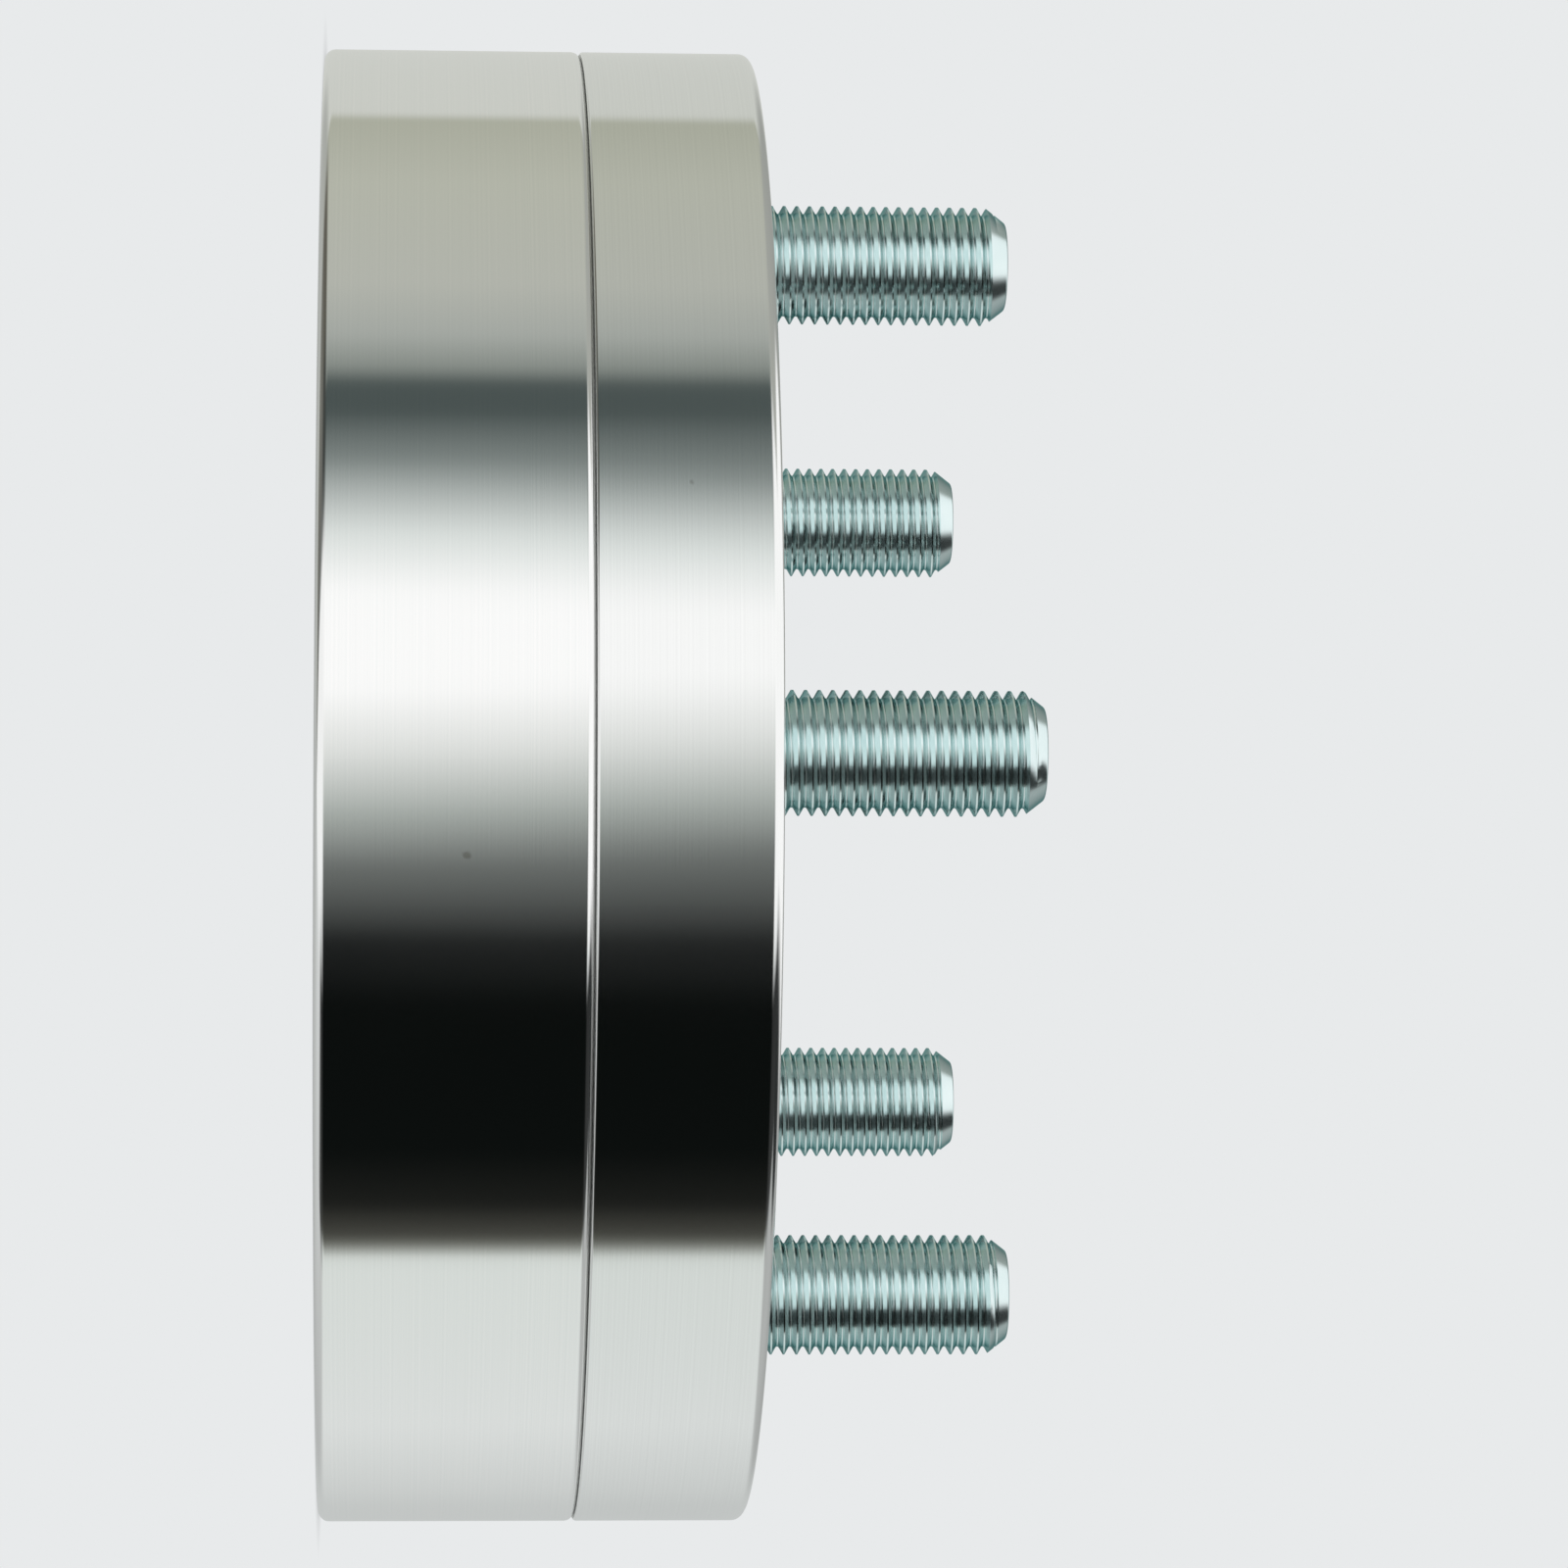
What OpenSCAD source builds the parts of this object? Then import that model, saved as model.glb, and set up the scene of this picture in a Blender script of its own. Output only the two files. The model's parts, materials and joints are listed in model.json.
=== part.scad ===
// Two-plate bolt-on wheel spacer. The hub plate seats on the vehicle's hub and the wheel plate
// on top of it carries the studs for the wheel.
// The axis is Z, the hub face lies on Z = 0 and the studs point up.

/* [Plates] */
// Outside diameter of both plates
outer_d = 175; // [170:0.5:200]
// Thickness of the hub plate
hub_plate_t = 30; // [28:0.5:45]
// Thickness of the wheel plate
wheel_plate_t = 20; // [18:0.5:30]
// Diameter of the centre bore
bore_d = 71.5; // [54:0.1:72]
// Chamfer of the bore at the hub face, clear of the fillet on the hub's pilot
bore_hub_chamfer = 2; // [0.5:0.1:3]
// Chamfer of the bore at the wheel face
bore_wheel_chamfer = 1; // [0.5:0.1:2]

/* [Edges] */
// Radius of the hub plate's rim at the hub face
hub_edge = 1.25; // [0.4:0.05:3]
// Radius of the hub plate's rim at the joint
hub_joint_edge = 1.1; // [0.2:0.05:3]
// Radius of the wheel plate's rim at the joint
wheel_joint_edge = 0.35; // [0.2:0.05:3]
// Radius of the wheel plate's rim at the wheel face
wheel_edge = 1.3; // [0.4:0.05:3]
// Chamfer of the holes for studs and screws at the wheel face
hole_edge = 0.4; // [0.1:0.05:0.6]

/* [Wheel studs] */
// Number of wheel studs, and of the lug wells between them
stud_count = 5; // [4:1:5]
// Diameter of the circle that the wheel studs stand on
stud_pcd = 127; // [124:0.1:132]
// Thread diameter of a stud
stud_d = 14; // [11:0.5:14.2]
// Length that a stud stands out of the wheel face
stud_out = 30; // [20:0.5:60]
// Angle between the cone of a stud's tip and the stud's axis
stud_tip_a = 38; // [25:1:60]
// Diameter of the flat end of a stud
stud_end_d = 9.6; // [6:0.1:9.8]
// Radius between the tip's cone and the flat end
stud_end_edge = 0.6; // [0.2:0.05:0.8]
// Diameter of a stud's head
stud_head_d = 21; // [18:0.5:23]
// Thickness of a stud's head
stud_head_t = 4; // [2.5:0.1:6]
// Diameter over the serrations of a stud's neck
stud_neck_d = 15.2; // [14.8:0.05:16]
// Depth of a serration
serration_depth = 0.35; // [0.15:0.05:0.45]
// Number of serrations
serration_count = 36; // [24:1:48]

/* [Lug wells] */
// Diameter of the circle of the hub's own studs
lug_pcd = 127; // [124:0.1:132]
// Diameter of a well, wide enough for a socket
well_d = 28; // [26:0.5:30]
// Thickness of the hub plate under a well
well_floor_t = 12; // [8:0.5:16]
// Diameter of the seat's wide end
seat_d = 22; // [19:0.5:25]
// Included angle of the seat for a lug nut
seat_angle = 60; // [55:1:90]
// Diameter of the hole for a hub stud
lug_hole_d = 16; // [15.8:0.1:17]
// Chamfer at a well's mouth
well_chamfer = 0.8; // [0.2:0.1:1.5]

/* [Plate screws] */
// Diameter of the circle of the screws that hold the plates together
screw_pcd = 92; // [91:0.1:93]
// Thread diameter of a screw
screw_d = 8; // [6:0.5:8.5]
// Diameter of a screw's head
screw_head_d = 13; // [11:0.1:13.5]
// Height of a screw's head
screw_head_h = 8; // [6:0.1:8.5]
// Depth that a screw's head lies under the wheel face
screw_sunk = 1; // [0.3:0.1:2]
// Length of a screw's thread in the hub plate
screw_grip = 14; // [10:0.5:20]
// Width of the hexagon socket across its flats
socket_af = 6; // [4:0.1:6.5]
// Depth of the hexagon socket
socket_depth = 4; // [2.5:0.1:5]
// Chamfer on the rim of a screw's head
screw_head_chamfer = 0.6; // [0.2:0.1:1]
// Chamfer at a screw's end
screw_end_chamfer = 1; // [0.4:0.1:1.5]

/* [Clearances] */
// Radial gap between a stud's serrations and its hole
press_gap = 0.03; // [0.01:0.01:0.1]
// Radial gap round a stud's head
head_gap = 0.5; // [0.2:0.1:1]
// Gap under a stud's head, so that the plates meet on their faces
head_float = 0.2; // [0.1:0.05:0.5]
// Radial gap round a screw's head
screw_head_gap = 0.75; // [0.25:0.05:0.75]
// Radial gap round a screw's shank in the wheel plate
shank_gap = 0.5; // [0.2:0.05:0.5]
// Radial gap round a screw's thread in the hub plate
thread_gap = 0.05; // [0.02:0.01:0.1]
// Depth of a screw's hole past the screw's end
screw_hole_extra = 4; // [2:0.5:6]

/* [Hidden] */
$fn = 96;

// Heights above the hub face
joint_z = hub_plate_t;
wheel_face_z = hub_plate_t + wheel_plate_t;
seat_low_z = well_floor_t - (seat_d - lug_hole_d) / 2 / tan(seat_angle / 2);
stud_seat_z = joint_z + head_float + stud_head_t;
screw_seat_z = wheel_face_z - screw_sunk - screw_head_h;

// A cut runs past the face that it opens
past = 1;

// Straight steps in the outline of a rounded edge
edge_steps = 6;

// Included angle of a drill's point
drill_point_a = 118;

// A hexagon socket
hex_sides = 6;

// The first stud points to -Y and the wells lie halfway between the studs
first_stud_a = -90;
step_a = 360 / stud_count;

aluminium = [0.76, 0.77, 0.75];
zinc = [0.68, 0.74, 0.74];
black_oxide = [0.16, 0.16, 0.17];

// Places the children on a circle, in line with stud i, or with the well after it
module at_stud(i, pcd) {
    rotate([0, 0, first_stud_a + (i - 1) * step_a]) translate([pcd / 2, 0, 0]) children();
}

module at_well(i, pcd) {
    rotate([0, 0, first_stud_a + (i - 0.5) * step_a]) translate([pcd / 2, 0, 0]) children();
}

// Arc of an outline about the centre [r, z], from one angle to another
function round_edge(r, z, edge, start_a, end_a) = [
    for (k = [0 : edge_steps])
        let (a = start_a + (end_a - start_a) * k / edge_steps)
        [r + edge * cos(a), z + edge * sin(a)]
];

// Turned ring between two heights, with its rim rounded and its bore chamfered at each end
module turned_ring(z0, z1, rim_low, rim_high, bore_low, bore_high) {
    r = outer_d / 2;
    b = bore_d / 2;
    rotate_extrude()
        polygon([
            [b + bore_low, z0],
            each round_edge(r - rim_low, z0 + rim_low, rim_low, -90, 0),
            each round_edge(r - rim_high, z1 - rim_high, rim_high, 0, 90),
            [b + bore_high, z1],
            if (bore_high > 0) [b, z1 - bore_high],
            if (bore_low > 0) [b, z0 + bore_low]
        ]);
}

// Well for a lug nut: hole for the hub's stud, conical seat and room for a socket
module lug_well() {
    hole_r = lug_hole_d / 2;
    well_r = well_d / 2;
    rotate_extrude()
        polygon([
            [0, -past],
            [hole_r, -past],
            [hole_r, seat_low_z],
            [seat_d / 2, well_floor_t],
            [well_r, well_floor_t],
            [well_r, wheel_face_z - well_chamfer],
            [well_r + well_chamfer + past, wheel_face_z + past],
            [0, wheel_face_z + past]
        ]);
}

// Stepped hole through the wheel plate: one radius up to the step and another above it, which
// opens with a chamfer at the wheel face
module stepped_hole(low_d, step_z, high_d) {
    rotate_extrude()
        polygon([
            [0, joint_z - past],
            [low_d / 2, joint_z - past],
            [low_d / 2, step_z],
            [high_d / 2, step_z],
            [high_d / 2, wheel_face_z - hole_edge],
            [high_d / 2 + hole_edge + past, wheel_face_z + past],
            [0, wheel_face_z + past]
        ]);
}

// Blind threaded hole in the hub plate, with a drill point
module screw_thread_hole() {
    r = screw_d / 2 + thread_gap;
    depth = screw_grip + screw_hole_extra;
    rotate_extrude()
        polygon([
            [0, joint_z + past],
            [r, joint_z + past],
            [r, joint_z - depth],
            [0, joint_z - depth - r / tan(drill_point_a / 2)]
        ]);
}

module hub_plate() {
    color(aluminium)
        difference() {
            turned_ring(0, joint_z, hub_edge, hub_joint_edge, bore_hub_chamfer, 0);
            for (i = [1 : stud_count]) {
                at_well(i, lug_pcd) lug_well();
                at_stud(i, screw_pcd) screw_thread_hole();
            }
        }
}

module wheel_plate() {
    color(aluminium)
        difference() {
            turned_ring(joint_z, wheel_face_z, wheel_joint_edge, wheel_edge, 0, bore_wheel_chamfer);
            for (i = [1 : stud_count]) {
                at_well(i, lug_pcd) lug_well();
                at_stud(i, stud_pcd)
                    stepped_hole(stud_head_d + 2 * head_gap, stud_seat_z, stud_neck_d + 2 * press_gap);
                at_stud(i, screw_pcd)
                    stepped_hole(screw_d + 2 * shank_gap, screw_seat_z, screw_head_d + 2 * screw_head_gap);
            }
        }
}

// Ring of V-shaped serrations round a stud's neck
module serrated_outline() {
    crest_r = stud_neck_d / 2;
    root_r = crest_r - serration_depth;
    half_step = 180 / serration_count;
    polygon([
        for (k = [0 : 2 * serration_count - 1])
            let (r = k % 2 == 0 ? crest_r : root_r)
            [r * cos(k * half_step), r * sin(k * half_step)]
    ]);
}

// Stud i: head seated in the wheel plate, serrated neck, and thread with a coned tip
module wheel_stud(i) {
    lead_l = stud_neck_d / 2 - stud_d / 2;
    thread_r = stud_d / 2;
    end_r = stud_end_d / 2;
    tip_z = wheel_face_z + stud_out;
    cone_end_r = end_r + stud_end_edge * cos(stud_tip_a);
    cone_end_z = tip_z - stud_end_edge * (1 - sin(stud_tip_a));
    cone_start_z = cone_end_z - (thread_r - cone_end_r) / tan(stud_tip_a);
    color(zinc)
        at_stud(i, stud_pcd) {
            translate([0, 0, stud_seat_z - stud_head_t])
                cylinder(d = stud_head_d, h = stud_head_t);
            intersection() {
                translate([0, 0, stud_seat_z])
                    linear_extrude(height = wheel_face_z - stud_seat_z)
                        serrated_outline();
                rotate_extrude()
                    polygon([
                        [0, joint_z],
                        [thread_r + 2 * lead_l, joint_z],
                        [thread_r + 2 * lead_l, wheel_face_z - 2 * lead_l],
                        [thread_r, wheel_face_z],
                        [0, wheel_face_z]
                    ]);
            }
            rotate_extrude()
                polygon([
                    [0, wheel_face_z],
                    [thread_r, wheel_face_z],
                    [thread_r, cone_start_z],
                    each round_edge(end_r, tip_z - stud_end_edge, stud_end_edge, stud_tip_a, 90),
                    [0, tip_z]
                ]);
        }
}

// Screw i: socket head cap screw from the wheel face into the hub plate
module plate_screw(i) {
    shank_r = screw_d / 2;
    head_r = screw_head_d / 2;
    head_z = screw_seat_z + screw_head_h;
    end_z = joint_z - screw_grip;
    color(black_oxide)
        at_stud(i, screw_pcd)
            difference() {
                rotate_extrude()
                    polygon([
                        [0, end_z],
                        [shank_r - screw_end_chamfer, end_z],
                        [shank_r, end_z + screw_end_chamfer],
                        [shank_r, screw_seat_z],
                        [head_r, screw_seat_z],
                        [head_r, head_z - screw_head_chamfer],
                        [head_r - screw_head_chamfer, head_z],
                        [0, head_z]
                    ]);
                translate([0, 0, head_z - socket_depth])
                    cylinder(
                        d = socket_af / cos(180 / hex_sides),
                        h = socket_depth + past,
                        $fn = hex_sides
                    );
            }
}

hub_plate();
wheel_plate();
for (i = [1 : stud_count]) {
    wheel_stud(i);
    plate_screw(i);
}
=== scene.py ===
import json
import math

import bpy
from mathutils import Matrix, Vector


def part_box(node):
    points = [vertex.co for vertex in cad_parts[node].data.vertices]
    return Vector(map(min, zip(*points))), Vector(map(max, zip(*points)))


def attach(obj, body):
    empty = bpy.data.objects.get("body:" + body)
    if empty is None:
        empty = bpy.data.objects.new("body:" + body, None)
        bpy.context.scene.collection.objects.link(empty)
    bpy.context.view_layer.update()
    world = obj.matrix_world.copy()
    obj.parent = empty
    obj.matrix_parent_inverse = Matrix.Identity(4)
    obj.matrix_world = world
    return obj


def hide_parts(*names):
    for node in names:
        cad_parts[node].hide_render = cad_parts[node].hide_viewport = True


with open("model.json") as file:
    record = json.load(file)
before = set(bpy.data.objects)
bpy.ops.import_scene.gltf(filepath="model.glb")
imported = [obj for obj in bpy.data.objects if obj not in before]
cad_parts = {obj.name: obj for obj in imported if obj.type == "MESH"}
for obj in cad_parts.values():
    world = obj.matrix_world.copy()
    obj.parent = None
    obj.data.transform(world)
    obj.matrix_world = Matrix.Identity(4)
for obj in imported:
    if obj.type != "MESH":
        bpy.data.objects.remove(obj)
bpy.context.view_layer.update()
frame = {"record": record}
mm = 0.001  # sizes below are in millimetres, meshes in metres


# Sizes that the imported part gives, in millimetres
wheelLow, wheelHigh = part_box("wheel_plate")
jointZ = wheelLow.z / mm
wheelFaceZ = wheelHigh.z / mm
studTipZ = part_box("wheel_stud_1")[1].z / mm  # of the box's upper corner
mounts = {mount["name"]: mount["dims"] for mount in frame["record"]["mounts"]}
boreRadius = mounts["center_bore"]["r_mm"]
studRadius = mounts["wheel_studs"]["stud_r_mm"]
studCircle = mounts["wheel_studs"]["pcd_mm"] / 2
studCount = mounts["wheel_studs"]["count"]
lugCircle = mounts["hub_bolts"]["pcd_mm"] / 2
lugHoleRadius = mounts["hub_bolts"]["hole_r_mm"]
firstStudAngle = -90  # degrees, the first stud points to -Y
stepAngle = 360 / studCount
print("frame: wheel face at", round(wheelFaceZ, 2), "mm, stud tips at", round(studTipZ, 2), "mm")


def deselectAll():
    if bpy.context.mode != "OBJECT":
        bpy.ops.object.mode_set(mode="OBJECT")
    bpy.ops.object.select_all(action="DESELECT")


def pick(obj):
    deselectAll()
    obj.select_set(True)
    bpy.context.view_layer.objects.active = obj


def applyModifier(obj, kind, **settings):
    pick(obj)
    modifier = obj.modifiers.new(kind.lower(), kind)
    for key, value in settings.items():
        setattr(modifier, key, value)
    bpy.ops.object.modifier_apply(modifier=modifier.name)


# A turned shape: a filled circle extruded up through rings of (radius, height)
def turnedBlank(name, rings, segments):
    deselectAll()
    radius, height = rings[0]
    bpy.ops.mesh.primitive_circle_add(
        vertices=segments, radius=radius * mm, fill_type="NGON", location=(0, 0, height * mm)
    )
    obj = bpy.context.object
    obj.name = name
    bpy.ops.object.transform_apply(location=True, rotation=True, scale=True)
    bpy.ops.object.mode_set(mode="EDIT")
    bpy.ops.mesh.select_all(action="SELECT")
    for newRadius, newHeight in rings[1:]:
        rise = (newHeight - height) * mm
        bpy.ops.mesh.extrude_region_move(TRANSFORM_OT_translate={"value": (0, 0, rise)})
        grow = newRadius / radius
        bpy.ops.transform.resize(value=(grow, grow, 1), center_override=(0, 0, newHeight * mm))
        radius, height = newRadius, newHeight
    bpy.ops.mesh.select_all(action="SELECT")
    bpy.ops.mesh.normals_make_consistent(inside=False)
    bpy.ops.object.mode_set(mode="OBJECT")
    return obj


# Copies of a shape on a circle, each with its own mesh and its place in the mesh
def copiesOnCircle(obj, circle, startAngle):
    copies = []
    for i in range(studCount):
        angle = math.radians(startAngle + i * stepAngle)
        pick(obj)
        bpy.ops.object.duplicate(linked=False)
        copy = bpy.context.object
        copy.location = (circle * mm * math.cos(angle), circle * mm * math.sin(angle), 0)
        copy.rotation_euler = (0, 0, angle)
        bpy.ops.object.transform_apply(location=True, rotation=True, scale=True)
        copies.append(copy)
    bpy.data.objects.remove(obj)
    return copies


def joined(objects):
    pick(objects[0])
    for obj in objects:
        obj.select_set(True)
    bpy.ops.object.join()
    return bpy.context.object


def cut(obj, cutter):
    applyModifier(obj, "BOOLEAN", operation="DIFFERENCE", object=cutter, solver="EXACT")
    bpy.data.objects.remove(cutter)


brokenEdge = {
    "width": 0.12,
    "segments": 2,
    "sharpAngle": 25,  # degrees, an edge that turns more than this is broken
    "flatWeight": 100,  # how much the large faces hold the shading flat
}


# Breaks the sharp edges and keeps flat faces flat to the light
def breakEdges(obj):
    pick(obj)
    bpy.ops.object.shade_smooth()
    applyModifier(
        obj, "BEVEL", width=brokenEdge["width"] * mm, segments=brokenEdge["segments"],
        limit_method="ANGLE", angle_limit=math.radians(brokenEdge["sharpAngle"]),
    )
    applyModifier(obj, "WEIGHTED_NORMAL", mode="FACE_AREA", weight=brokenEdge["flatWeight"])


# Camera, at the photograph's viewing angle: the part lies on its side in the picture,
# so the picture's right is the part's +Z

camera = {
    "distance": 738.8,  # from the part's axis
    "height": 8.73,  # above the hub face
    "angle": -86.57,  # round the axis, in degrees
    "aimSide": -0.41,  # where the view passes the axis, along X
    "aimHeight": 55.3,
    "roll": 0.27,  # degrees
    "lens": 141.3,
    "sensor": 36,
    "clipStart": 10,
}


def addCamera():
    bpy.ops.object.camera_add()
    obj = bpy.context.object
    obj.name = "camera"
    obj.data.lens = camera["lens"]
    obj.data.sensor_width = camera["sensor"]
    obj.data.clip_start = camera["clipStart"] * mm
    angle = math.radians(camera["angle"])
    reach = camera["distance"] * mm
    place = Vector((reach * math.cos(angle), reach * math.sin(angle), camera["height"] * mm))
    back = (place - Vector((camera["aimSide"] * mm, 0, camera["aimHeight"] * mm))).normalized()
    right = (Vector((0, 0, 1)) - back * back.z).normalized()
    up = back.cross(right)
    turn = Matrix.Rotation(math.radians(camera["roll"]), 4, back)
    axes = Matrix((right, up, back)).transposed().to_4x4()
    obj.matrix_world = Matrix.Translation(place) @ turn @ axes
    bpy.context.scene.camera = obj


addCamera()
print("camera done")


# Materials

# An sRGB hex colour as linear values
def linearColour(hexCode):
    channels = [int(hexCode[i : i + 2], 16) / 255 for i in (1, 3, 5)]
    return [c / 12.92 if c <= 0.04045 else ((c + 0.055) / 1.055) ** 2.4 for c in channels] + [1]


# Adds a node: settings are its properties, inputs are values or the sockets to link from
def node(tree, kind, settings=None, inputs=None):
    new = tree.nodes.new(kind)
    for key, value in (settings or {}).items():
        setattr(new, key, value)
    for key, value in (inputs or {}).items():
        if isinstance(value, bpy.types.NodeSocket):
            tree.links.new(value, new.inputs[key])
        else:
            new.inputs[key].default_value = value
    return new


def newMaterial(name):
    material = bpy.data.materials.new(name)
    material.use_nodes = True
    tree = material.node_tree
    tree.nodes.clear()
    return material, tree


# Distance from the axis plus height, so that lines run round the part on every turned face
def turningCoordinate(tree, place):
    across = node(tree, "ShaderNodeVectorMath", {"operation": "MULTIPLY"}, {0: place, 1: (1, 1, 0)})
    radius = node(tree, "ShaderNodeVectorMath", {"operation": "LENGTH"}, {0: across.outputs["Vector"]})
    height = node(tree, "ShaderNodeSeparateXYZ", None, {"Vector": place}).outputs["Z"]
    return node(tree, "ShaderNodeMath", None, {0: radius.outputs["Value"], 1: height}).outputs["Value"]


flatFace = {"none": 0.95, "full": 0.99}  # share of the normal that lies along the axis


# 1 on a flat face across the axis and 0 on walls, rims and cones
def faceShare(tree):
    normal = node(tree, "ShaderNodeNewGeometry").outputs["Normal"]
    along = node(tree, "ShaderNodeSeparateXYZ", None, {"Vector": normal}).outputs["Z"]
    size = node(tree, "ShaderNodeMath", {"operation": "ABSOLUTE"}, {0: along}).outputs["Value"]
    share = node(
        tree, "ShaderNodeMapRange", None,
        {"Value": size, "From Min": flatFace["none"], "From Max": flatFace["full"]},
    )
    return share.outputs["Result"]


nickEdge = {
    "grain": 0.8,  # size of the ragged bits
    "detail": 2,
    "inner": 0.7,  # shares of the nick's radius between which it fades out
    "outer": 1.3,
}


# How much a small nick covers a point, where its mark and the painted shade of its dent go: 1 inside it
# and 0 outside, with a ragged edge
def nickMarkAndShadeShare(tree, place, nick):
    ragged = node(
        tree, "ShaderNodeTexNoise", None,
        {"Vector": place, "Scale": 1 / (nickEdge["grain"] * mm), "Detail": nickEdge["detail"]},
    )
    angle = math.radians(nick["angle"])
    centre = (plate["radius"] * math.cos(angle), plate["radius"] * math.sin(angle), nick["height"])
    gap = node(
        tree, "ShaderNodeVectorMath", {"operation": "DISTANCE"}, {0: place, 1: [c * mm for c in centre]}
    )
    radius = nick["radius"] * mm
    torn = node(
        tree, "ShaderNodeMath", {"operation": "MULTIPLY_ADD"},
        {0: ragged.outputs["Fac"], 1: radius, 2: gap.outputs["Value"]},
    )
    share = node(
        tree, "ShaderNodeMapRange", {"interpolation_type": "SMOOTHSTEP"},
        {
            "Value": torn.outputs["Value"], "From Min": radius * nickEdge["inner"],
            "From Max": radius * nickEdge["outer"], "To Min": 1, "To Max": 0,
        },
    )
    return share.outputs["Result"]


turning = {
    "feed": 0.25,  # spacing of the turned lines, drawn as coarse as the picture needs to show them
    "feedDetail": 3,
    "feedRoughness": 0.7,
    "contrast": (0.25, 0.75),  # of the feed's noise, from valley to ridge
    "grooves": 0.01,
    "cloud": 30,  # size of the faint patches in the shine
    "cloudDetail": 2,
    "cloudSpread": 0.02,  # of the roughness, up and down
    "faceRoughness": 0.52,  # the flat faces are cut with a coarser feed than the rim
    "anisotropy": 0.8,
    "anisotropyTurn": 0.25,  # of a full turn, so that the shine spreads across the lines
}

hubLook = {
    "valley": "#f7f8f7",
    "ridge": "#fcfcfb",
    "roughness": 0.1,
    # the nick's colour is its mark's own tone together with the painted shade of its dent
    "nick": {"angle": -81.81, "height": 16.2, "radius": 0.8, "colour": "#d6d4cf"},
}

wheelLook = {
    "valley": "#f3f4f3",
    "ridge": "#f8f9f8",
    "roughness": 0.11,
    # the nick's colour is its mark's own tone together with the painted shade of its dent
    "nick": {"angle": -108.45, "height": 40.16, "radius": 0.5, "colour": "#d8d8d5"},
}


def turnedAluminium(name, look):
    # bare aluminium, fine turned on a lathe: bands of light run along the axis, fine rings cross them
    material, tree = newMaterial(name)
    place = node(tree, "ShaderNodeTexCoord").outputs["Object"]
    feed = node(
        tree, "ShaderNodeTexNoise", {"noise_dimensions": "1D"},
        {
            "W": turningCoordinate(tree, place), "Scale": 1 / (turning["feed"] * mm),
            "Detail": turning["feedDetail"], "Roughness": turning["feedRoughness"],
        },
    )
    tint = node(tree, "ShaderNodeValToRGB", None, {"Fac": feed.outputs["Fac"]})
    tones = zip(tint.color_ramp.elements, turning["contrast"], (look["valley"], look["ridge"]))
    for stop, position, colour in tones:
        stop.position = position
        stop.color = linearColour(colour)
    # a darker spot at the nick: the mark's own tone and the painted shade of its dent
    nickAndDentShade = node(
        tree, "ShaderNodeMix", {"data_type": "RGBA"},
        {
            "Factor": nickMarkAndShadeShare(tree, place, look["nick"]), "A": tint.outputs["Color"],
            "B": linearColour(look["nick"]["colour"]),
        },
    )
    cloud = node(
        tree, "ShaderNodeTexNoise", None,
        {"Vector": place, "Scale": 1 / (turning["cloud"] * mm), "Detail": turning["cloudDetail"]},
    )
    rough = node(
        tree, "ShaderNodeMapRange", None,
        {
            "Value": cloud.outputs["Fac"], "To Min": look["roughness"] - turning["cloudSpread"],
            "To Max": look["roughness"] + turning["cloudSpread"],
        },
    )
    finish = node(
        tree, "ShaderNodeMix", None,
        {"Factor": faceShare(tree), "A": rough.outputs["Result"], "B": turning["faceRoughness"]},
    )
    grooves = node(
        tree, "ShaderNodeBump", None,
        {"Height": feed.outputs["Fac"], "Strength": turning["grooves"], "Distance": turning["feed"] * mm},
    )
    lines = node(tree, "ShaderNodeTangent", {"direction_type": "RADIAL", "axis": "Z"})
    shader = node(
        tree, "ShaderNodeBsdfPrincipled", None,
        {
            "Base Color": nickAndDentShade.outputs["Result"], "Metallic": 1, "Roughness": finish.outputs["Result"],
            "Anisotropic": turning["anisotropy"], "Anisotropic Rotation": turning["anisotropyTurn"],
            "Normal": grooves.outputs["Normal"], "Tangent": lines.outputs["Tangent"],
        },
    )
    node(tree, "ShaderNodeOutputMaterial", None, {"Surface": shader.outputs["BSDF"]})
    return material


zinc = {
    "cloud": 3.85,  # size of the cloudy patches
    "cloudDetail": 3,
    "contrast": (0.3, 0.7),
    "dull": "#e1f1f1",
    "bright": "#ebf8f8",
    "lowAngle": "#7aa6a6",  # the film takes more light at a low angle
    "roughness": (0.14, 0.22),
    "endRoughness": 0.55,  # the ends are sheared off and stay matt
}


def zincPlate():
    # electroplated zinc with a clear blue passivation: bluish, fairly bright, slightly cloudy
    material, tree = newMaterial("zinc plate, blue passivated")
    place = node(tree, "ShaderNodeTexCoord").outputs["Object"]
    cloud = node(
        tree, "ShaderNodeTexNoise", None,
        {"Vector": place, "Scale": 1 / (zinc["cloud"] * mm), "Detail": zinc["cloudDetail"]},
    )
    tint = node(tree, "ShaderNodeValToRGB", None, {"Fac": cloud.outputs["Fac"]})
    tones = zip(tint.color_ramp.elements, zinc["contrast"], (zinc["dull"], zinc["bright"]))
    for stop, position, colour in tones:
        stop.position = position
        stop.color = linearColour(colour)
    smoothest, roughest = zinc["roughness"]
    rough = node(
        tree, "ShaderNodeMapRange", None,
        {"Value": cloud.outputs["Fac"], "To Min": smoothest, "To Max": roughest},
    )
    finish = node(
        tree, "ShaderNodeMix", None,
        {"Factor": faceShare(tree), "A": rough.outputs["Result"], "B": zinc["endRoughness"]},
    )
    shader = node(
        tree, "ShaderNodeBsdfPrincipled", None,
        {
            "Base Color": tint.outputs["Color"], "Metallic": 1, "Roughness": finish.outputs["Result"],
            "Specular Tint": linearColour(zinc["lowAngle"]),
        },
    )
    node(tree, "ShaderNodeOutputMaterial", None, {"Surface": shader.outputs["BSDF"]})
    return material


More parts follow.
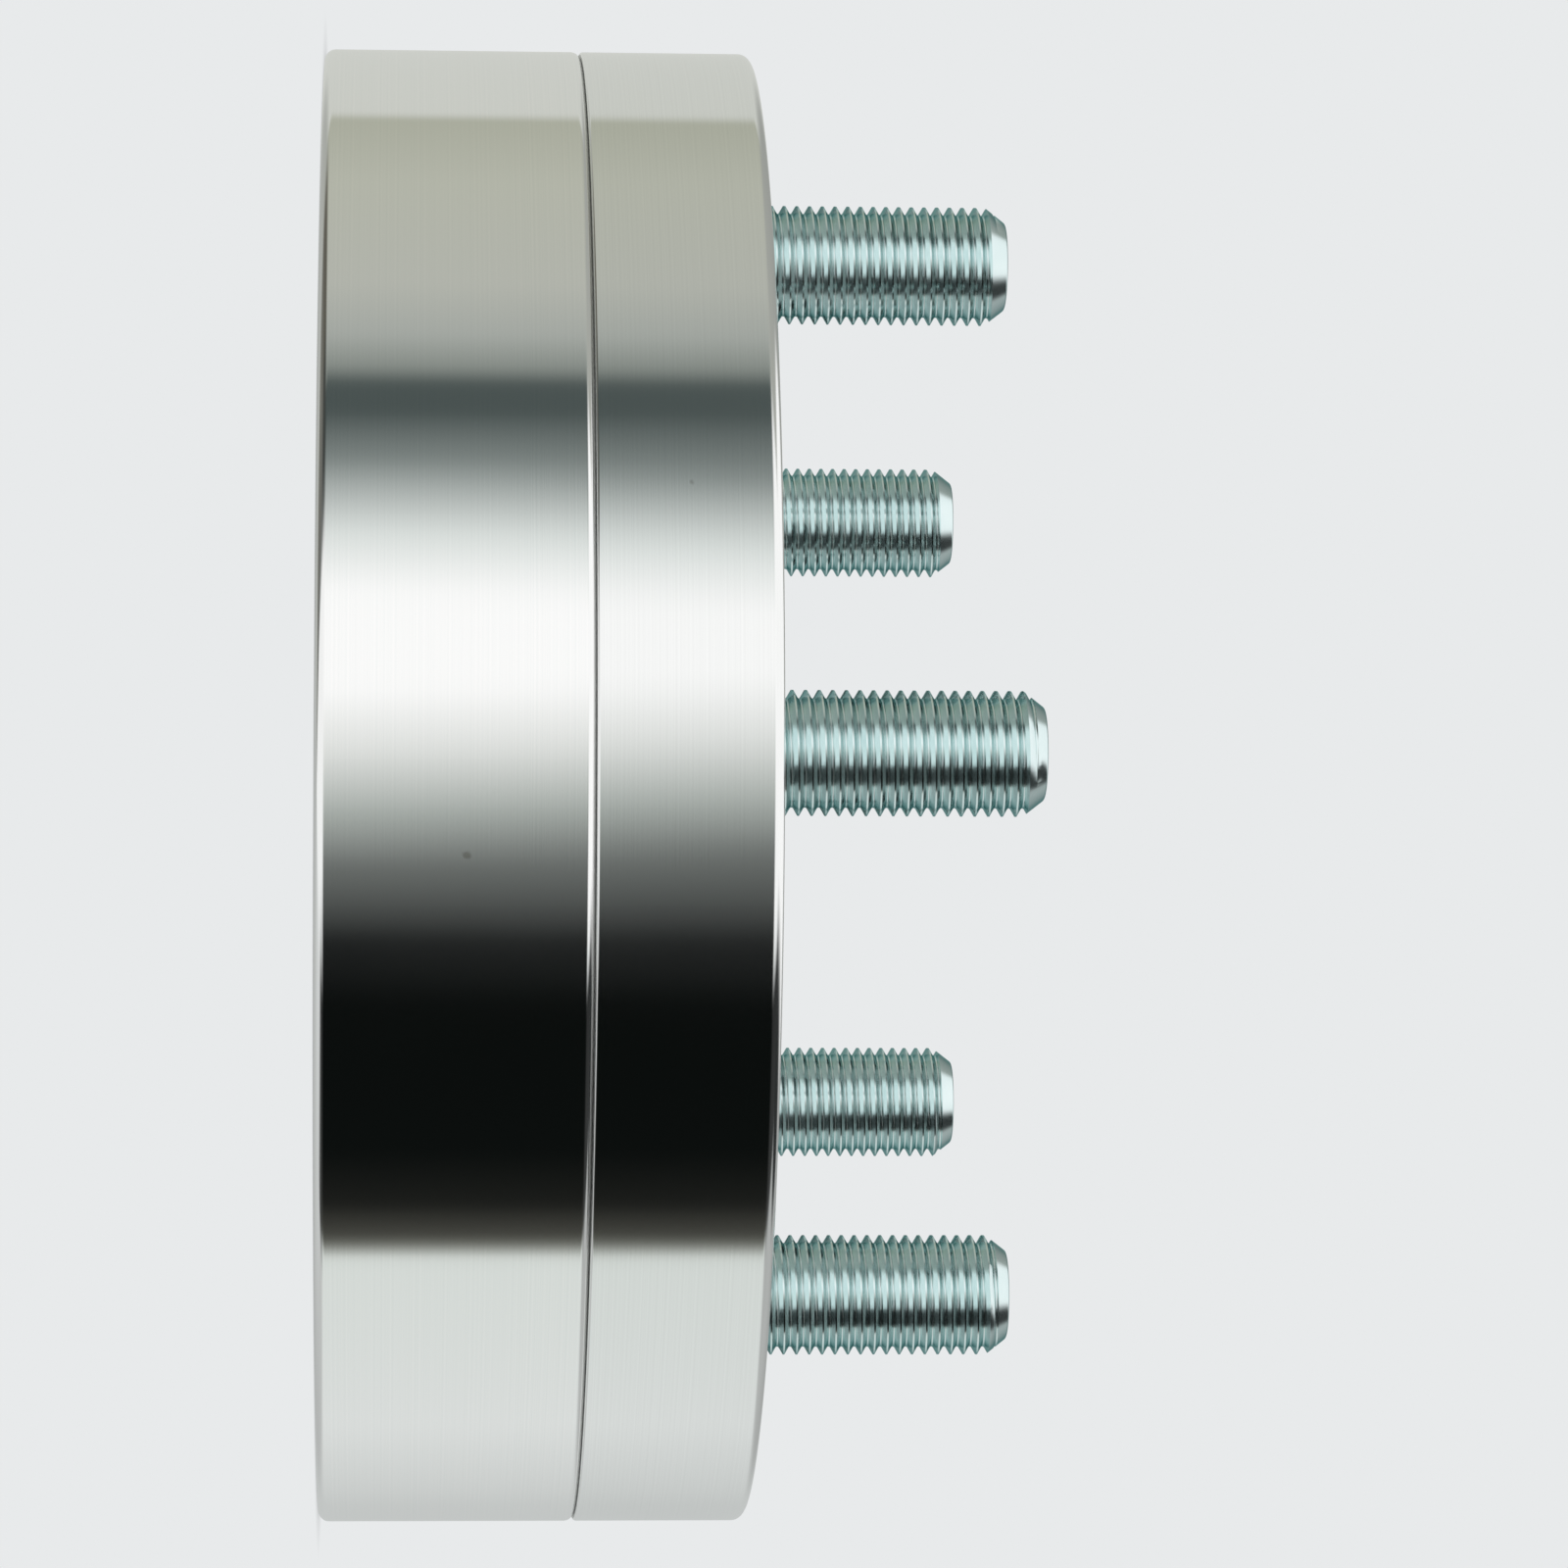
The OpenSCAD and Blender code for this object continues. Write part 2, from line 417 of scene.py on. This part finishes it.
oxide = {
    "cloud": 2.38,  # size of the cloudy patches
    "cloudDetail": 4,
    "dark": "#2a2a2c",
    "light": "#454548",
    "roughness": (0.32, 0.45),
}


def blackOxide():
    # black oxide on alloy steel, oiled: near black with a soft shine
    material, tree = newMaterial("black oxide steel, oiled")
    place = node(tree, "ShaderNodeTexCoord").outputs["Object"]
    cloud = node(
        tree, "ShaderNodeTexNoise", None,
        {"Vector": place, "Scale": 1 / (oxide["cloud"] * mm), "Detail": oxide["cloudDetail"]},
    )
    tint = node(tree, "ShaderNodeValToRGB", None, {"Fac": cloud.outputs["Fac"]})
    for stop, colour in zip(tint.color_ramp.elements, (oxide["dark"], oxide["light"])):
        stop.color = linearColour(colour)
    smoothest, roughest = oxide["roughness"]
    rough = node(
        tree, "ShaderNodeMapRange", None,
        {"Value": cloud.outputs["Fac"], "To Min": smoothest, "To Max": roughest},
    )
    shader = node(
        tree, "ShaderNodeBsdfPrincipled", None,
        {"Base Color": tint.outputs["Color"], "Metallic": 1, "Roughness": rough.outputs["Result"]},
    )
    node(tree, "ShaderNodeOutputMaterial", None, {"Surface": shader.outputs["BSDF"]})
    return material


def dress(obj, material, slot, *nodes):
    obj.data.materials.clear()
    obj.data.materials.append(material)
    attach(obj, "root")
    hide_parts(*nodes)


# Plates

plate = {
    "radius": 87.5,
    "hubEdge": 1.25,  # radii of the rims' edges
    "hubJointEdge": 1.1,
    "wheelJointEdge": 0.35,
    "wheelEdge": 1.3,
    "edgeSteps": 8,
    "boreHubChamfer": 2,
    "boreWheelChamfer": 1,
    "wellRadius": 14,
    "wellFloor": 12,  # above the hub face
    "seatRadius": 11,
    "seatAngle": 60,  # degrees, of the whole cone
    "wellChamfer": 0.8,
    "headPocketRadius": 11,
    "headPocketTop": 4.2,  # above the joint
    "neckHoleRadius": 7.63,
    "holeEdge": 0.4,
    "past": 2,  # a cutter runs past the face that it opens
    "rimSegments": 512,
    "boreSegments": 256,
    "holeSegments": 128,
}

screw = {
    "circle": 46,
    "radius": 4,
    "headRadius": 6.5,
    "headHeight": 8,
    "sunk": 1,  # the head's top lies this far under the wheel face
    "grip": 14,  # the thread's length in the hub plate
    "socketWidth": 6,  # across the flats
    "socketDepth": 4,
    "socketSides": 6,
    "headChamfer": 0.6,
    "endChamfer": 1,
    "headGap": 0.75,
    "shankGap": 0.5,
    "holeExtra": 4,  # the hole's depth past the screw
    "drillDepth": 0.6,  # of the drill's point under the hole, as a share of the radius
    "drillTip": 0.1,  # radius of that point's end, as a share of the radius
    "segments": 96,
}
screwSeatZ = wheelFaceZ - screw["sunk"] - screw["headHeight"]


# Rings of a plate's rim from its lower face to its upper one, with rounded edges
def roundedRim(lowZ, highZ, lowEdge, highEdge):
    quarter = [math.pi / 2 * i / plate["edgeSteps"] for i in range(plate["edgeSteps"] + 1)]
    radius = plate["radius"]
    low = [(radius - lowEdge * (1 - math.sin(a)), lowZ + lowEdge * (1 - math.cos(a))) for a in quarter]
    high = [(radius - highEdge * (1 - math.cos(a)), highZ - highEdge * (1 - math.sin(a))) for a in quarter]
    return low + high


def boreCutter():
    past = plate["past"]
    return turnedBlank("boreCutter", [
        (boreRadius + plate["boreHubChamfer"] + past, -past),
        (boreRadius, plate["boreHubChamfer"]),
        (boreRadius, wheelFaceZ - plate["boreWheelChamfer"]),
        (boreRadius + plate["boreWheelChamfer"] + past, wheelFaceZ + past),
    ], plate["boreSegments"])


def wellCutters():
    past = plate["past"]
    wellRadius = plate["wellRadius"]
    seatSlope = math.tan(math.radians(plate["seatAngle"] / 2))
    seatLow = plate["wellFloor"] - (plate["seatRadius"] - lugHoleRadius) / seatSlope
    well = turnedBlank("wellCutter", [
        (lugHoleRadius, -past),
        (lugHoleRadius, seatLow),
        (plate["seatRadius"], plate["wellFloor"]),
        (wellRadius, plate["wellFloor"]),
        (wellRadius, wheelFaceZ - plate["wellChamfer"]),
        (wellRadius + plate["wellChamfer"] + past, wheelFaceZ + past),
    ], plate["holeSegments"])
    return copiesOnCircle(well, lugCircle, firstStudAngle + stepAngle / 2)


# A hole through the wheel plate: one radius up to the step, another above it, and a chamfered mouth
def steppedHoles(lowRadius, stepZ, highRadius, circle):
    past = plate["past"]
    hole = turnedBlank("steppedHoleCutter", [
        (lowRadius, jointZ - past),
        (lowRadius, stepZ),
        (highRadius, stepZ),
        (highRadius, wheelFaceZ - plate["holeEdge"]),
        (highRadius + plate["holeEdge"] + past, wheelFaceZ + past),
    ], plate["holeSegments"])
    return copiesOnCircle(hole, circle, firstStudAngle)


def studHoleCutters():
    pocketTop = jointZ + plate["headPocketTop"]
    return steppedHoles(plate["headPocketRadius"], pocketTop, plate["neckHoleRadius"], studCircle)


def screwHoleCutters():
    shankHole = screw["radius"] + screw["shankGap"]
    headHole = screw["headRadius"] + screw["headGap"]
    return steppedHoles(shankHole, screwSeatZ, headHole, screw["circle"])


def threadHoleCutters():
    radius = screw["radius"]
    bottom = jointZ - screw["grip"] - screw["holeExtra"]
    hole = turnedBlank("threadHoleCutter", [
        (radius * screw["drillTip"], bottom - radius * screw["drillDepth"]),
        (radius, bottom),
        (radius, jointZ + plate["past"]),
    ], screw["segments"])
    return copiesOnCircle(hole, screw["circle"], firstStudAngle)


def hubPlate():
    rim = roundedRim(0, jointZ, plate["hubEdge"], plate["hubJointEdge"])
    obj = turnedBlank("hubPlate", rim, plate["rimSegments"])
    cut(obj, joined([boreCutter()] + wellCutters() + threadHoleCutters()))
    breakEdges(obj)
    material = turnedAluminium("fine turned aluminium, hub plate", hubLook)
    dress(obj, material, "turned_aluminium", "hub_plate")


def wheelPlate():
    rim = roundedRim(jointZ, wheelFaceZ, plate["wheelJointEdge"], plate["wheelEdge"])
    obj = turnedBlank("wheelPlate", rim, plate["rimSegments"])
    cut(obj, joined([boreCutter()] + wellCutters() + studHoleCutters() + screwHoleCutters()))
    breakEdges(obj)
    material = turnedAluminium("fine turned aluminium, wheel plate", wheelLook)
    dress(obj, material, "turned_aluminium", "wheel_plate")


hubPlate()
wheelPlate()
print("plates done")


# Wheel studs, with a rolled thread

stud = {
    "headRadius": 10.5,
    "headThickness": 4,
    "headFloat": 0.2,  # the head stays this far above the joint
    "neckRadius": 7.6,
    "onNeck": 0.01,  # a point this near the neck's radius belongs to the neck
    "serrations": 36,
    "serrationDepth": 0.35,
    "pitch": 1.5,
    "threadAngle": 60,  # degrees, of the whole groove
    "crestFlat": 0.125,  # share of the pitch, as the metric thread has it
    "rootRound": 0.144,  # radius, as a share of the pitch
    "rootSteps": 6,
    "threadStart": -54,  # degrees, where the groove starts at the wheel face
    "threadSteps": 72,  # in each turn
    "crestLoss": 0.06,  # a rolled and plated crest stays under the nominal radius
    "grooveOutside": 0.12,  # the groove's cutter reaches this far outside the neck
    "weldGap": 0.001,
    "tipAngle": 38,  # degrees, between the tip's cone and the axis
    "endRadius": 4.8,  # of the flat end
    "endEdge": 0.6,  # radius between the cone and the flat end
    "endSteps": 6,
    "smoothAngle": 50,  # degrees, shallower edges are shaded smooth
    "segments": 144,
}
crestRadius = studRadius - stud["crestLoss"]


def studBlank():
    neckRadius = stud["neckRadius"]
    headLow = jointZ + stud["headFloat"]
    headTop = headLow + stud["headThickness"]
    lead = neckRadius - crestRadius
    tip = math.radians(stud["tipAngle"])
    coneEndRadius = stud["endRadius"] + stud["endEdge"] * math.cos(tip)
    coneEndZ = studTipZ - stud["endEdge"] * (1 - math.sin(tip))
    rings = [
        (stud["headRadius"], headLow),
        (stud["headRadius"], headTop),
        (neckRadius, headTop),
        (neckRadius, wheelFaceZ - lead),
        (crestRadius, wheelFaceZ),
        (crestRadius, coneEndZ - (crestRadius - coneEndRadius) / math.tan(tip)),
    ]
    for i in range(stud["endSteps"] + 1):  # from the cone round to the flat end
        a = tip + (math.pi / 2 - tip) * i / stud["endSteps"]
        radius = stud["endRadius"] + stud["endEdge"] * math.cos(a)
        rings.append((radius, studTipZ - stud["endEdge"] * (1 - math.sin(a))))
    obj = turnedBlank("wheelStud", rings, stud["segments"])
    for vertex in obj.data.vertices:  # V-shaped serrations round the neck
        x, y, z = vertex.co
        if abs(math.hypot(x, y) - neckRadius * mm) < stud["onNeck"] * mm:
            turn = math.atan2(y, x) / math.tau * stud["serrations"] % 1
            valley = 1 - abs(2 * turn - 1)
            shrink = 1 - valley * stud["serrationDepth"] / neckRadius
            vertex.co = (x * shrink, y * shrink, z)
    return obj


# Outline of the thread's groove, a V with a round root, as pairs of radius and height
def grooveOutline():
    half = stud["pitch"] * (1 - stud["crestFlat"]) / 2
    outside = stud["neckRadius"] + stud["grooveOutside"]
    flank = math.radians(stud["threadAngle"] / 2)  # from the radius
    root = stud["pitch"] * stud["rootRound"]
    rootCentre = crestRadius - half / math.tan(flank) + root / math.sin(flank)
    outline = [(outside, half), (outside, -half), (crestRadius, -half)]
    for i in range(stud["rootSteps"] + 1):
        a = (math.pi / 2 - flank) * (2 * i / stud["rootSteps"] - 1)
        outline.append((rootCentre - root * math.cos(a), root * math.sin(a)))
    outline.append((crestRadius, half))
    return outline


# The groove's cutter: its outline, wound up the stud by the Screw modifier
def threadGroove():
    outline = grooveOutline()
    deselectAll()
    bpy.ops.mesh.primitive_circle_add(vertices=len(outline), fill_type="NOTHING")
    obj = bpy.context.object
    start = Matrix.Rotation(math.radians(stud["threadStart"]), 3, "Z")
    for vertex, (radius, height) in zip(obj.data.vertices, outline):
        vertex.co = start @ Vector((radius, 0, wheelFaceZ + height)) * mm
    turns = math.ceil((studTipZ - wheelFaceZ) / stud["pitch"]) + 1
    applyModifier(
        obj, "SCREW", axis="Z", angle=math.tau, screw_offset=stud["pitch"] * mm, iterations=turns,
        steps=stud["threadSteps"], render_steps=stud["threadSteps"], use_merge_vertices=True,
        merge_threshold=stud["weldGap"] * mm,
    )
    bpy.ops.object.mode_set(mode="EDIT")
    bpy.ops.mesh.select_all(action="SELECT")
    bpy.ops.mesh.fill_holes(sides=0)
    bpy.ops.mesh.select_all(action="SELECT")
    bpy.ops.mesh.normals_make_consistent(inside=False)
    bpy.ops.object.mode_set(mode="OBJECT")
    return obj


def wheelStuds():
    obj = studBlank()
    cut(obj, threadGroove())
    pick(obj)
    bpy.ops.object.shade_smooth_by_angle(angle=math.radians(stud["smoothAngle"]))
    material = zincPlate()
    for i, copy in enumerate(copiesOnCircle(obj, studCircle, firstStudAngle), 1):
        copy.name = f"wheelStud{i}"
        dress(copy, material, "zinc_plated_steel", f"wheel_stud_{i}")


wheelStuds()
print("studs done")


# Plate screws

def plateScrews():
    radius = screw["radius"]
    headRadius = screw["headRadius"]
    endZ = jointZ - screw["grip"]
    headZ = screwSeatZ + screw["headHeight"]
    obj = turnedBlank("plateScrew", [
        (radius - screw["endChamfer"], endZ),
        (radius, endZ + screw["endChamfer"]),
        (radius, screwSeatZ),
        (headRadius, screwSeatZ),
        (headRadius, headZ - screw["headChamfer"]),
        (headRadius - screw["headChamfer"], headZ),
    ], screw["segments"])
    cornerRadius = screw["socketWidth"] / 2 / math.cos(math.pi / screw["socketSides"])
    socket = turnedBlank("socketCutter", [
        (cornerRadius, headZ - screw["socketDepth"]),
        (cornerRadius, headZ + plate["past"]),
    ], screw["socketSides"])
    cut(obj, socket)
    breakEdges(obj)
    material = blackOxide()
    for i, copy in enumerate(copiesOnCircle(obj, screw["circle"], firstStudAngle), 1):
        copy.name = f"plateScrew{i}"
        dress(copy, material, "black_oxide_steel", f"plate_screw_{i}")


plateScrews()
print("screws done")


# Studio: a pale floor, and soft panels and dark flags in rings round the part's axis

studio = {
    "floor": 3,  # metres
    "paper": "#f0f1f1",
    "background": "#e8eaeb",
    "contactShade": 0.74,  # of the floor's brightness where the part covers it
    "contactReach": 5,  # how far from the part that shade ends
    "contactSamples": 16,
    # each ring has pairs of an angle and a colour: degrees from the camera round the axis
    # towards the picture's top, and the panel or flag that stands there
    "level": [
        (-180, "#c0c3c2"), (-150, "#c6c9c8"), (-115, "#dde0df"), (-78, "#d9dedb"), (-75.5, "#d2d7d3"),
        (-74, "#74766e"), (-72, "#44443f"), (-66, "#1c1d1b"), (-57, "#0c0f0e"), (-32, "#0a0d0c"),
        (-23, "#1c1e1e"), (-12, "#6a6e6c"), (-4, "#aab0ac"), (5, "#e2e4e2"), (14, "#ffffff"),
        (29, "#ffffff"), (38, "#dfe4e2"), (50, "#7f8785"), (58, "#4a5352"), (63, "#4a5352"),
        (66, "#888e89"), (72, "#a7aba6"), (82, "#b5b7af"), (105, "#b6b8ac"), (124, "#acaea0"),
        (126, "#cccec8"), (180, "#cdcfca"),
    ],
    "upper": [
        (-180, "#a0a2a1"), (-120, "#b4b6b5"), (-82, "#b0b2b1"), (-72, "#3a3b3b"), (-34, "#2c2d2d"),
        (-27, "#e8eaea"), (-20, "#ffffff"), (58, "#ffffff"), (68, "#a8aaa4"), (180, "#9a9c99"),
    ],
    "lower": [
        (-180, "#b0b2b2"), (-84, "#c2c4c3"), (-76, "#3c3d3c"), (-34, "#343535"), (-24, "#c8caca"),
        (-14, "#f4f5f5"), (36, "#f6f6f6"), (46, "#6a6e6c"), (54, "#3c3f3d"), (72, "#444744"),
        (80, "#5a5850"), (112, "#625f57"), (126, "#a8aaa4"), (180, "#b0b2b0"),
    ],
    "lowest": [
        (-180, "#b4b6b5"), (-40, "#d4d6d6"), (-20, "#f4f5f5"), (36, "#f6f6f6"), (46, "#7a7d7b"),
        (58, "#6a6a66"), (110, "#76766f"), (130, "#b4b6b2"), (180, "#b4b6b5"),
    ],
    "whiteStart": (-13, 15),  # degrees, where the level ring's white panel fades in
    "whiteEnd": (28, 51),  # and where it fades out
    "narrowing": 3,  # degrees that the panel loses on each side just above level
    "above": "#ffffff",
    "aboveFlag": "#2e3030",  # straight above, on the side of the picture's bottom
    "aboveFlagEdge": (-0.15, -0.35),
    # each layer takes over from the one before it between two heights, 1 being straight up
    "heights": {
        "raised": (0.02, 0.05),
        "upper": (0.2, 0.45),
        "lower": (-0.2, -0.45),
        "above": (0.76, 0.84),
        "lowest": (-0.55, -0.8),
    },
}


# The level ring with its white panel narrower: the panel's stops move towards its middle
def raisedRing():
    ring = []
    for angle, colour in studio["level"]:
        if studio["whiteStart"][0] < angle < studio["whiteStart"][1]:
            angle += studio["narrowing"]
        elif studio["whiteEnd"][0] < angle < studio["whiteEnd"][1]:
            angle -= studio["narrowing"]
        ring.append((angle, colour))
    return ring


# A ring's colours, by the share of a full turn
def panelRing(tree, share, panels):
    ring = node(tree, "ShaderNodeValToRGB", None, {"Fac": share})
    stops = ring.color_ramp.elements
    for i, (degrees, colour) in enumerate(panels):
        position = degrees / 360 + 0.5
        if i < 2:  # a new ramp has two stops
            stops[i].position = position
        stop = stops[i] if i < 2 else stops.new(position)
        stop.color = linearColour(colour)
    return ring.outputs["Color"]


def studioWorld():
    world = bpy.data.worlds.new("studio")
    bpy.context.scene.world = world
    world.use_nodes = True
    tree = world.node_tree
    tree.nodes.clear()
    way = node(tree, "ShaderNodeTexCoord").outputs["Generated"]
    turned = node(
        tree, "ShaderNodeMapping", None,
        {"Vector": way, "Rotation": (0, 0, math.radians(-camera["angle"]))},
    )
    parts = node(tree, "ShaderNodeSeparateXYZ", None, {"Vector": turned.outputs["Vector"]})
    towardsTop = node(tree, "ShaderNodeMath", {"operation": "MULTIPLY"}, {0: parts.outputs["Y"], 1: -1})
    angle = node(
        tree, "ShaderNodeMath", {"operation": "ARCTAN2"},
        {0: towardsTop.outputs["Value"], 1: parts.outputs["X"]},
    )
    turnShare = node(
        tree, "ShaderNodeMapRange", None,
        {"Value": angle.outputs["Value"], "From Min": -math.pi, "From Max": math.pi},
    )
    flagStart, flagFull = studio["aboveFlagEdge"]
    flagShare = node(
        tree, "ShaderNodeMapRange", {"interpolation_type": "SMOOTHSTEP"},
        {"Value": towardsTop.outputs["Value"], "From Min": flagStart, "From Max": flagFull},
    )
    above = node(
        tree, "ShaderNodeMix", {"data_type": "RGBA"},
        {
            "Factor": flagShare.outputs["Result"], "A": linearColour(studio["above"]),
            "B": linearColour(studio["aboveFlag"]),
        },
    )
    rings = {name: studio[name] for name in ("level", "upper", "lower", "lowest")}
    rings["raised"] = raisedRing()
    layers = {name: panelRing(tree, turnShare.outputs["Result"], rings[name]) for name in rings}
    layers["above"] = above.outputs["Result"]
    colour = layers["level"]
    for name, (start, full) in studio["heights"].items():
        cover = node(
            tree, "ShaderNodeMapRange", {"interpolation_type": "SMOOTHSTEP"},
            {"Value": parts.outputs["Z"], "From Min": start, "From Max": full},
        )
        mixed = node(
            tree, "ShaderNodeMix", {"data_type": "RGBA"},
            {"Factor": cover.outputs["Result"], "A": colour, "B": layers[name]},
        )
        colour = mixed.outputs["Result"]
    seen = node(tree, "ShaderNodeLightPath").outputs["Is Camera Ray"]
    shown = node(
        tree, "ShaderNodeMix", {"data_type": "RGBA"},
        {"Factor": seen, "A": colour, "B": linearColour(studio["background"])},
    )
    light = node(tree, "ShaderNodeBackground", None, {"Color": shown.outputs["Result"], "Strength": 1})
    node(tree, "ShaderNodeOutputWorld", None, {"Surface": light.outputs["Background"]})


# The camera sees the floor as bright as the background, darker where the part stands
def studioFloor():
    deselectAll()
    bpy.ops.mesh.primitive_plane_add(size=studio["floor"])
    obj = bpy.context.object
    obj.name = "floor"
    material, tree = newMaterial("matt white paper sweep")
    paper = node(tree, "ShaderNodeBsdfDiffuse", None, {"Color": linearColour(studio["paper"])})
    uncovered = node(
        tree, "ShaderNodeAmbientOcclusion", {"samples": studio["contactSamples"]},
        {"Distance": studio["contactReach"] * mm},
    )
    shade = node(
        tree, "ShaderNodeMapRange", None,
        {"Value": uncovered.outputs["AO"], "To Min": studio["contactShade"]},
    )
    glow = node(
        tree, "ShaderNodeEmission", None,
        {"Color": linearColour(studio["background"]), "Strength": shade.outputs["Result"]},
    )
    seen = node(tree, "ShaderNodeLightPath").outputs["Is Camera Ray"]
    both = node(
        tree, "ShaderNodeMixShader", None,
        {0: seen, 1: paper.outputs["BSDF"], 2: glow.outputs["Emission"]},
    )
    node(tree, "ShaderNodeOutputMaterial", None, {"Surface": both.outputs["Shader"]})
    obj.data.materials.append(material)
    obj.visible_glossy = False  # the metal shows the studio's rings instead


studioWorld()
studioFloor()
bpy.context.scene.view_settings.view_transform = "Standard"
print("studio done")
